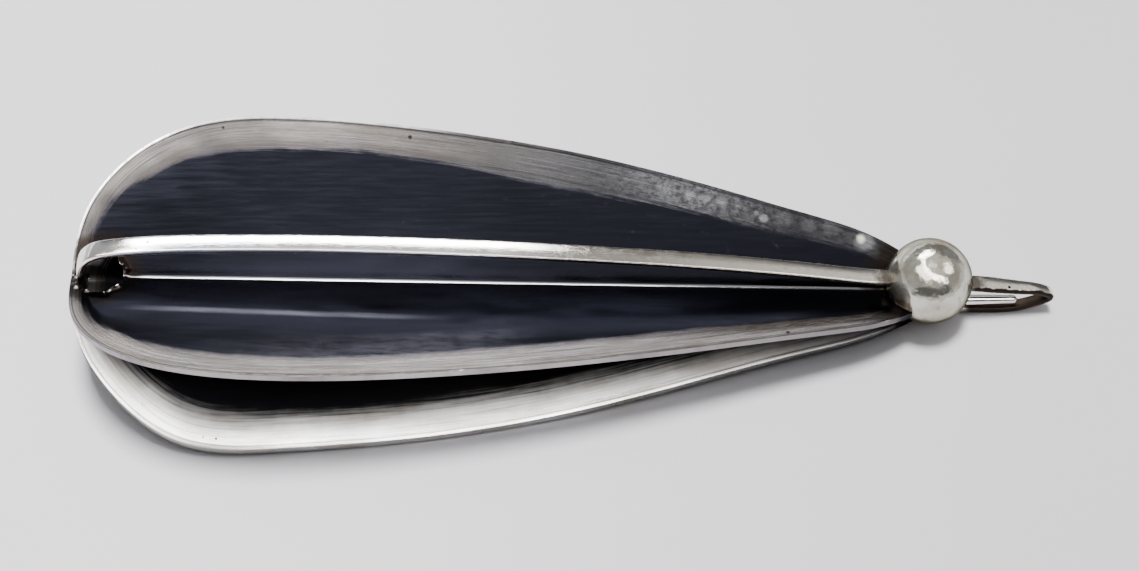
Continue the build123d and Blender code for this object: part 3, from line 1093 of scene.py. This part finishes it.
ballLook = {
    "silver": (0.62, 0.595, 0.525),
    "warm": (0.46, 0.43, 0.355),
    # edge: painted shade, the ball's reflections darkened towards its outline
    "edge": (0.16, 0.15, 0.12, 1),
    "scuff": (0.17, 0.135, 0.10),
    "pit": (0.018, 0.013, 0.010),
    "pits": [(31.72, -0.91, 6.89, 0.20), (31.71, -2.92, 4.6, 0.18), (30.7, 0.4, 7.8, 0.08)],
    "grain": {
        "patches": ("place", 0.45, 3.0, 0.55),
        "scuffs": ("place", 3.0, 5.0, 0.65),
        "stains": ("place", 0.8, 4.0, 0.6),
        "dents": ("place", 0.9, 2.0, 0.5),
    },
    "fade": {
        "warmPatches": ("patches", 0.38, 0.62),
        "scuffed": ("scuffs", 0.64, 0.76, 0.0, 0.7),
        "stained": ("stains", 0.56, 0.70, 0.0, 0.45),
        "rough": ("scuffs", 0.4, 0.7, 0.10, 0.20),
    },
}


def ballFinish(look):
    made, tree, maps, fade = startFinish("polished silver", look)
    colour = coated(tree, look, fade, look["silver"], [
        ("warm", "warmPatches"), ("scuff", "scuffed"), ("scuff", "stained"),
    ])
    height = sums(tree, "ADD", maps["dents"], times(tree, maps["scuffs"], 0.12))
    return finished(made, {
        "Base Color": speckled(tree, maps["place"], look["pits"], colour, look["pit"]),
        "Metallic": 0.90,
        "Specular Tint": look["edge"],
        "Roughness": fade("rough"),
        "Normal": bumpFrom(tree, height, 0.6, 0.12),
    })


pinLook = {
    "silver": (0.86, 0.84, 0.80),
    "drawn": (0.6, 0.56, 0.50),
    "grain": {"lines": ("place", 1.0, 4.0, 0.6, (0.15, 6.0, 6.0))},
    "fade": {"drawn": ("lines", 0.4, 0.7), "rough": ("lines", 0.35, 0.7, 0.14, 0.28)},
}


def pinFinish(look):
    made, tree, maps, fade = startFinish("drawn silver wire", look)
    colour = blendColour(tree, fade("drawn"), look["silver"], look["drawn"])
    return finished(made, {"Base Color": colour, "Metallic": 1.0, "Roughness": fade("rough")})


def dress(piece, finish, solid):
    piece.data.materials.clear()
    piece.data.materials.append(finish)
    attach(piece, "root")
    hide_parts(solid)


dress(makeLeaf(frontLeaf), leafFinish("oxidised silver front", frontLook), "front_leaf")
dress(makeLeaf(backLeaf), leafFinish("oxidised silver back", backLook), "back_leaf")
print("leaves done")
dress(makeStrap(), strapFinish(strapLook), "bow_strap")
print("strap done")
dress(makeBall(), ballFinish(ballLook), "ball")
dress(makePin(), pinFinish(pinLook), "pin_stem")
print("ball and pin done")


# Table, light and camera

table = {
    "size": 6.0,  # metres
    "silver": (0.855, 0.85, 0.89),
    "cloudy": 0.97,
    "rough": 0.8,
    "shine": 0.2,
    "grain": {"clouds": ("place", 0.02, 3.0, 0.5), "tooth": ("place", 1.2, 3.0, 0.6)},
    # painted shade: the card darkens towards the right
    "fade": {"clouds": ("clouds", 0.3, 0.7), "rightSide": ("x", -46.0, 46.0, 1.0, 0.74)},
}
boxes = [  # azimuth from the far side towards the right, elevation, distance, width, height, watts
    {"name": "far softbox", "azimuth": -8.5, "elevation": 48, "away": 0.50, "wide": 0.296, "tall": 0.11,
     "power": 2.6, "colour": (1.0, 0.99, 0.98), "shape": "RECTANGLE", "onPaper": False, "inSilver": True},
    {"name": "ceiling lamp", "azimuth": 10, "elevation": 85, "away": 1.0, "wide": 0.24, "tall": 0.24,
     "power": 19.5, "colour": (1.0, 1.0, 1.0), "shape": "ELLIPSE", "onPaper": True, "inSilver": False},
    {"name": "bounced light", "azimuth": 0, "elevation": 90, "away": 1.4, "wide": 2.0, "tall": 2.0,
     "power": 15.0, "colour": (1.0, 0.99, 1.0), "shape": "RECTANGLE", "onPaper": True, "inSilver": False},
]
sky = {
    "horizon": (0.85, 0.845, 0.83),
    "sides": (0.42, 0.42, 0.42),
    "leanFrom": -0.04,
    "lean": 0.6,
    "ways": {  # where the middles of the round patches are
        "ring": (0.458, 0.236, 0.853), "ringSide": (-0.21, -0.32, 0.925), "glare": (-0.42, -0.24, 0.875),
        "window": (0.685, 0.071, 0.725), "lamp": (0.039, 0.097, 0.9945),
    },
    "fade": {
        "sides": ("z", 0.12, 0.30),
        "far": ("y", 0.35, 0.60),
        "wallFoot": ("leaning", 0.230, 0.245),
        "wallTop": ("z", 0.56, 0.66, 1, 0),
        "wallLeft": ("x", -0.52, -0.40),
        "glowFoot": ("leaning", 0.180, 0.200),
        "glowTop": ("leaning", 0.230, 0.245, 1, 0),
        "zenith": ("z", 0.62, 0.80),
        "farHigh": ("z", 0.68, 0.78),
        "nearHigh": ("z", 0.62, 0.74),
        "near": ("y", -0.45, -0.25, 1, 0),
        "skylight": ("ring", 0.62, 0.70),
        "ringSide": ("ringSide", 0.60, 0.74),
        "glareOuter": ("ring", 0.30, 0.38),
        "glareInner": ("ring", 0.62, 0.68, 1, 0),
        "glareSide": ("glare", 0.87, 0.94),
        "ringOuter": ("ring", 0.60, 0.64),
        "ringInner": ("ring", 0.728, 0.755, 1, 0),
        "disc": ("ring", 0.90, 0.925),
        "window": ("window", 0.972, 0.986),
        "lamp": ("lamp", 0.9915, 0.9950),
        "shadeFoot": ("z", 0.12, 0.18),
        "shadeTop": ("z", 0.50, 0.60, 1, 0),
        "shadeNear": ("y", -0.66, -0.56, 1, 0),
    },
    "patches": [  # colour and the fades that bound it, laid over one another in this order
        ((0.10, 0.105, 0.12), ("wallFoot", "wallTop", "wallLeft", "far")),
        ((2.9, 2.95, 3.1), ("glowFoot", "glowTop", "far")),
        ((0.42, 0.415, 0.43), ("zenith",)),
        ((0.52, 0.51, 0.50), ("far", "farHigh")),
        ((0.80, 0.79, 0.79), ("nearHigh", "near")),
        ((1.2, 1.2, 1.2), ("skylight", "ringSide")),
        ((7.0, 7.0, 7.2), ("glareOuter", "glareInner", "glareSide")),
        ((16.0, 16.0, 16.0), ("ringOuter", "ringInner", "ringSide")),
        ((0.95, 0.95, 0.95), ("disc",)),
        ((6.0, 5.9, 5.7), ("window",)),
        ((2.6, 2.6, 2.7), ("lamp",)),
        ((0.02, 0.02, 0.025), ("shadeFoot", "shadeTop", "shadeNear")),
    ],
}
view = {
    "elevation": 53.86,
    "azimuth": -1.84,
    "away": 171.3,
    "target": (-0.03, 0.0, 4.90),
    "lens": 65.32,
    "sensor": 36,
}


def makeTable():
    card = newShape(bpy.ops.mesh.primitive_plane_add, size=table["size"])
    card.name = "table"
    made, tree, maps, fade = startFinish("pale card", table)
    cloudy = tuple(table["cloudy"] * c for c in table["silver"])
    tint = blendColour(tree, fade("clouds"), table["silver"], cloudy)
    card.data.materials.append(finished(made, {
        # painted shade darkening the card towards the right
        "Base Color": product(tree, tint, fade("rightSide")),
        "Roughness": table["rough"],
        "Specular IOR Level": table["shine"],
        "Normal": bumpFrom(tree, maps["tooth"], 0.15, 0.05),
    }))


def direction(azimuth, elevation):
    a = math.radians(azimuth)
    e = math.radians(elevation)
    return Vector((math.sin(a) * math.cos(e), math.cos(a) * math.cos(e), math.sin(e)))


def makeLights():
    for row in boxes:
        light = bpy.data.lights.new(row["name"], "AREA")
        light.shape = row["shape"]
        light.size = row["wide"]
        light.size_y = row["tall"]
        light.energy = row["power"]
        light.color = row["colour"]
        lamp = bpy.data.objects.new(row["name"], light)
        bpy.context.scene.collection.objects.link(lamp)
        way = direction(row["azimuth"], row["elevation"])
        lamp.location = way * row["away"]
        lamp.visible_diffuse = row["onPaper"]
        lamp.visible_glossy = row["inSilver"]
        lamp.rotation_euler = way.to_track_quat("Z", "Y").to_euler()


def makeSky():
    world = bpy.context.scene.world or bpy.data.worlds.new("studio")
    bpy.context.scene.world = world
    world.use_nodes = True
    world.cycles_visibility.diffuse = False  # the lamps light the card, the sky is only mirrored
    tree = world.node_tree
    ray = node(tree, "ShaderNodeTexCoord").outputs["Generated"]
    parts = node(tree, "ShaderNodeSeparateXYZ", {0: ray}).outputs
    maps = {"x": parts["X"], "y": parts["Y"], "z": parts["Z"]}
    rightward = sums(tree, "MAXIMUM", maps["x"], sky["leanFrom"])
    maps["leaning"] = sums(tree, "ADD", maps["z"], times(tree, rightward, sky["lean"]))
    for name, way in sky["ways"].items():
        facing = node(tree, "ShaderNodeVectorMath", {0: ray, 1: way}, operation="DOT_PRODUCT")
        maps[name] = facing.outputs["Value"]
    fade = fadesOf(tree, maps, sky["fade"])
    colour = blendColour(tree, fade("sides"), sky["horizon"], sky["sides"])
    for patch, bounds in sky["patches"]:
        colour = blendColour(tree, fade(*bounds), colour, patch)
    fill(tree, tree.nodes["Background"], {"Color": colour, "Strength": 1.0})


def makeCamera():
    camera = bpy.data.cameras.new("camera")
    camera.lens = view["lens"]
    camera.sensor_width = view["sensor"]
    camera.clip_start = 0.005
    camera.clip_end = 20
    eye = bpy.data.objects.new("camera", camera)
    bpy.context.scene.collection.objects.link(eye)
    back = direction(180 - view["azimuth"], view["elevation"])
    eye.location = (Vector(view["target"]) + back * view["away"]) * mm
    eye.rotation_euler = back.to_track_quat("Z", "Y").to_euler()
    bpy.context.scene.camera = eye


makeTable()
makeLights()
makeSky()
makeCamera()
